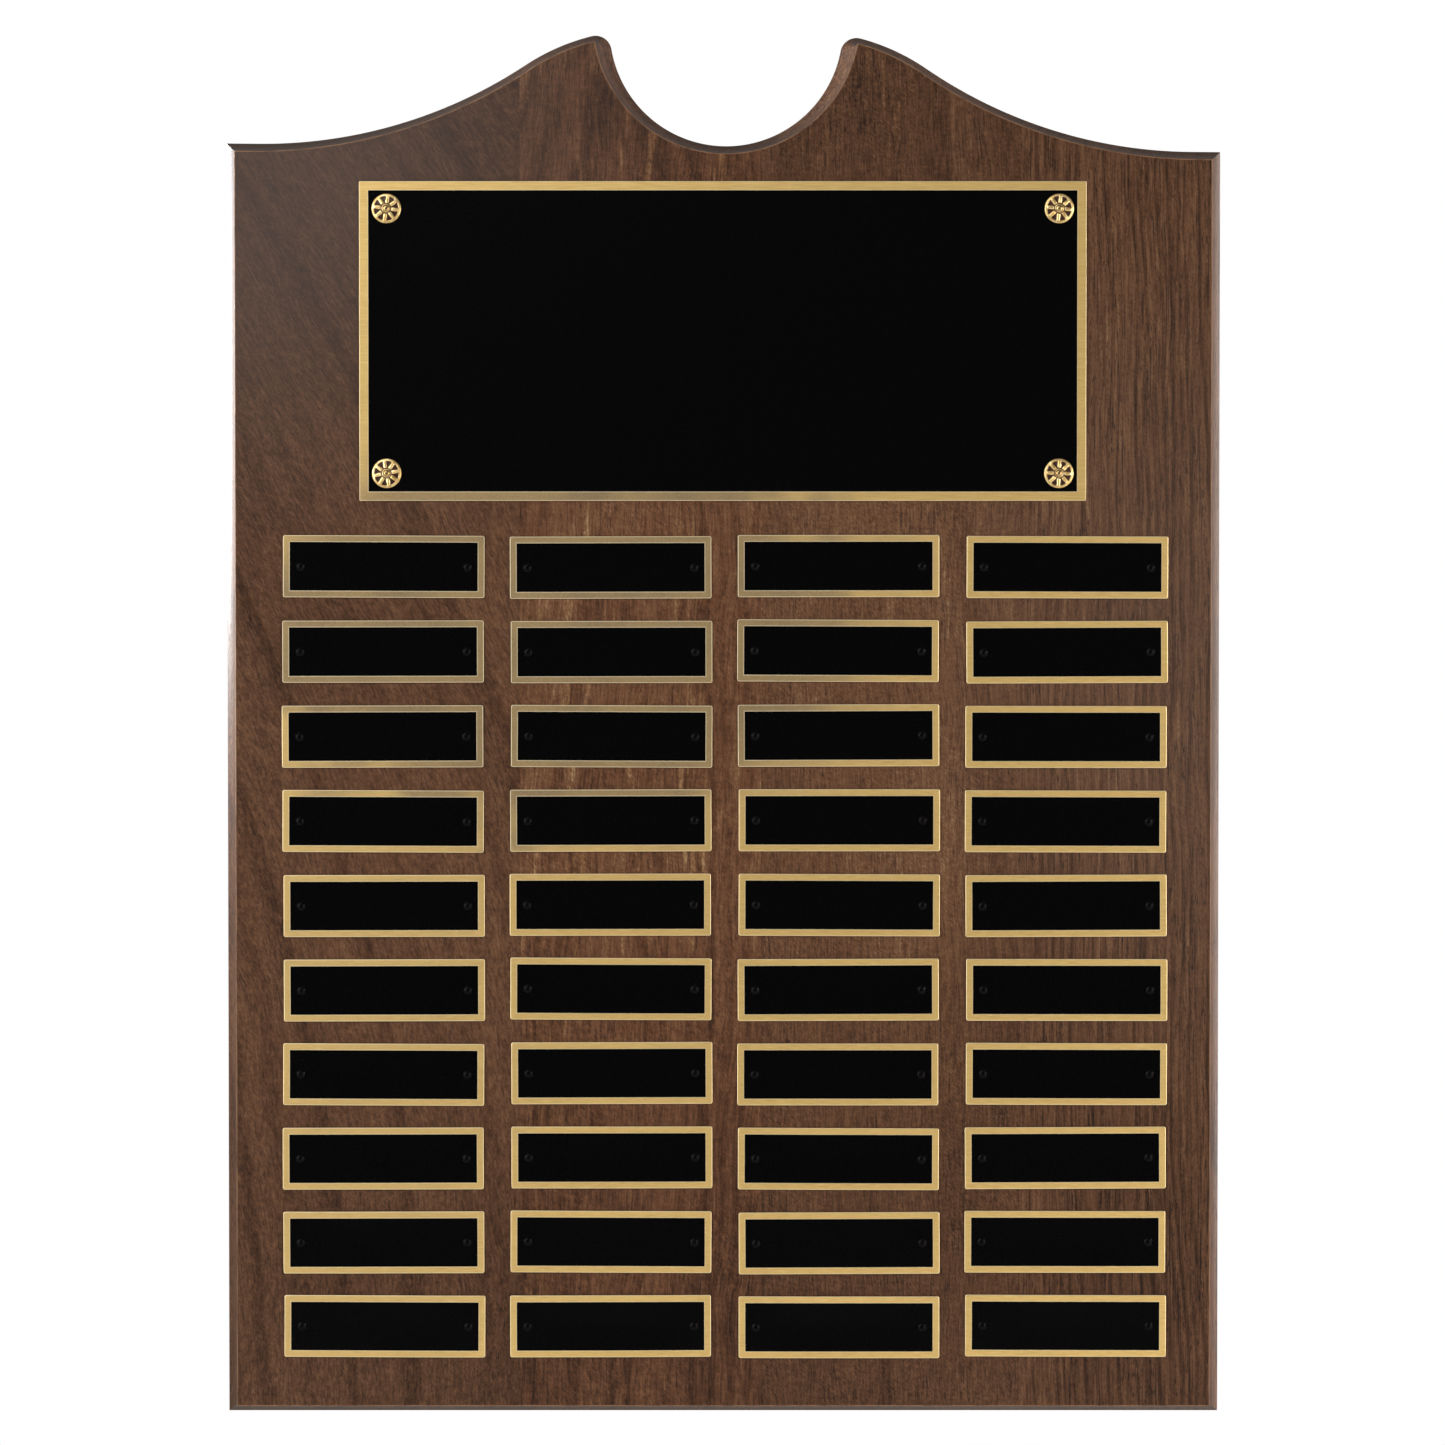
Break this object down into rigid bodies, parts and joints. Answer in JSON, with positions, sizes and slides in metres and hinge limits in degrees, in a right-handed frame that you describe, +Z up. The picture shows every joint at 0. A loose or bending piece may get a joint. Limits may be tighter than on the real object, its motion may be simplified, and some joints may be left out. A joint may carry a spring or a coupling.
{
  "type": "award plaque",
  "caption": "Walnut wall plaque with a coved edge and a horned, bitten top, a pinned header plate and a grid of small pinned name plates.",
  "frame": {"origin": "on the back face, in the middle across the board and half way between its bottom edge and the tips of its horns", "axes": "+Z up the board, -Y out of its front face, +Y into the wall, +X to the right as seen from the front"},
  "size_m": [0.38, 0.0217, 0.5272],
  "materials": {
    "walnut": "satin lacquer over stained walnut",
    "lacquered_brass": "gloss black lacquer with a bare brushed brass border",
    "stamped_brass": "bright stamped brass",
    "brass_pins": "polished brass",
    "black_pins": "gloss black japanned steel"
  },
  "bodies": {
    "root": {"stave_1": "walnut", "stave_2": "walnut", "stave_3": "walnut", "stave_4": "walnut", "header_plate": "lacquered_brass", "rosette_1": "stamped_brass", "rosette_2": "stamped_brass", "rosette_3": "stamped_brass", "rosette_4": "stamped_brass", "rosette_pins": "brass_pins", "name_plate_r01_c1": "lacquered_brass", "name_plate_r01_c2": "lacquered_brass", "name_plate_r01_c3": "lacquered_brass", "name_plate_r01_c4": "lacquered_brass", "name_plate_r02_c1": "lacquered_brass", "name_plate_r02_c2": "lacquered_brass", "name_plate_r02_c3": "lacquered_brass", "name_plate_r02_c4": "lacquered_brass", "name_plate_r03_c1": "lacquered_brass", "name_plate_r03_c2": "lacquered_brass", "name_plate_r03_c3": "lacquered_brass", "name_plate_r03_c4": "lacquered_brass", "name_plate_r04_c1": "lacquered_brass", "name_plate_r04_c2": "lacquered_brass", "name_plate_r04_c3": "lacquered_brass", "name_plate_r04_c4": "lacquered_brass", "name_plate_r05_c1": "lacquered_brass", "name_plate_r05_c2": "lacquered_brass", "name_plate_r05_c3": "lacquered_brass", "name_plate_r05_c4": "lacquered_brass", "name_plate_r06_c1": "lacquered_brass", "name_plate_r06_c2": "lacquered_brass", "name_plate_r06_c3": "lacquered_brass", "name_plate_r06_c4": "lacquered_brass", "name_plate_r07_c1": "lacquered_brass", "name_plate_r07_c2": "lacquered_brass", "name_plate_r07_c3": "lacquered_brass", "name_plate_r07_c4": "lacquered_brass", "name_plate_r08_c1": "lacquered_brass", "name_plate_r08_c2": "lacquered_brass", "name_plate_r08_c3": "lacquered_brass", "name_plate_r08_c4": "lacquered_brass", "name_plate_r09_c1": "lacquered_brass", "name_plate_r09_c2": "lacquered_brass", "name_plate_r09_c3": "lacquered_brass", "name_plate_r09_c4": "lacquered_brass", "name_plate_r10_c1": "lacquered_brass", "name_plate_r10_c2": "lacquered_brass", "name_plate_r10_c3": "lacquered_brass", "name_plate_r10_c4": "lacquered_brass", "name_plate_pins": "black_pins"}
  },
  "joints": []
}
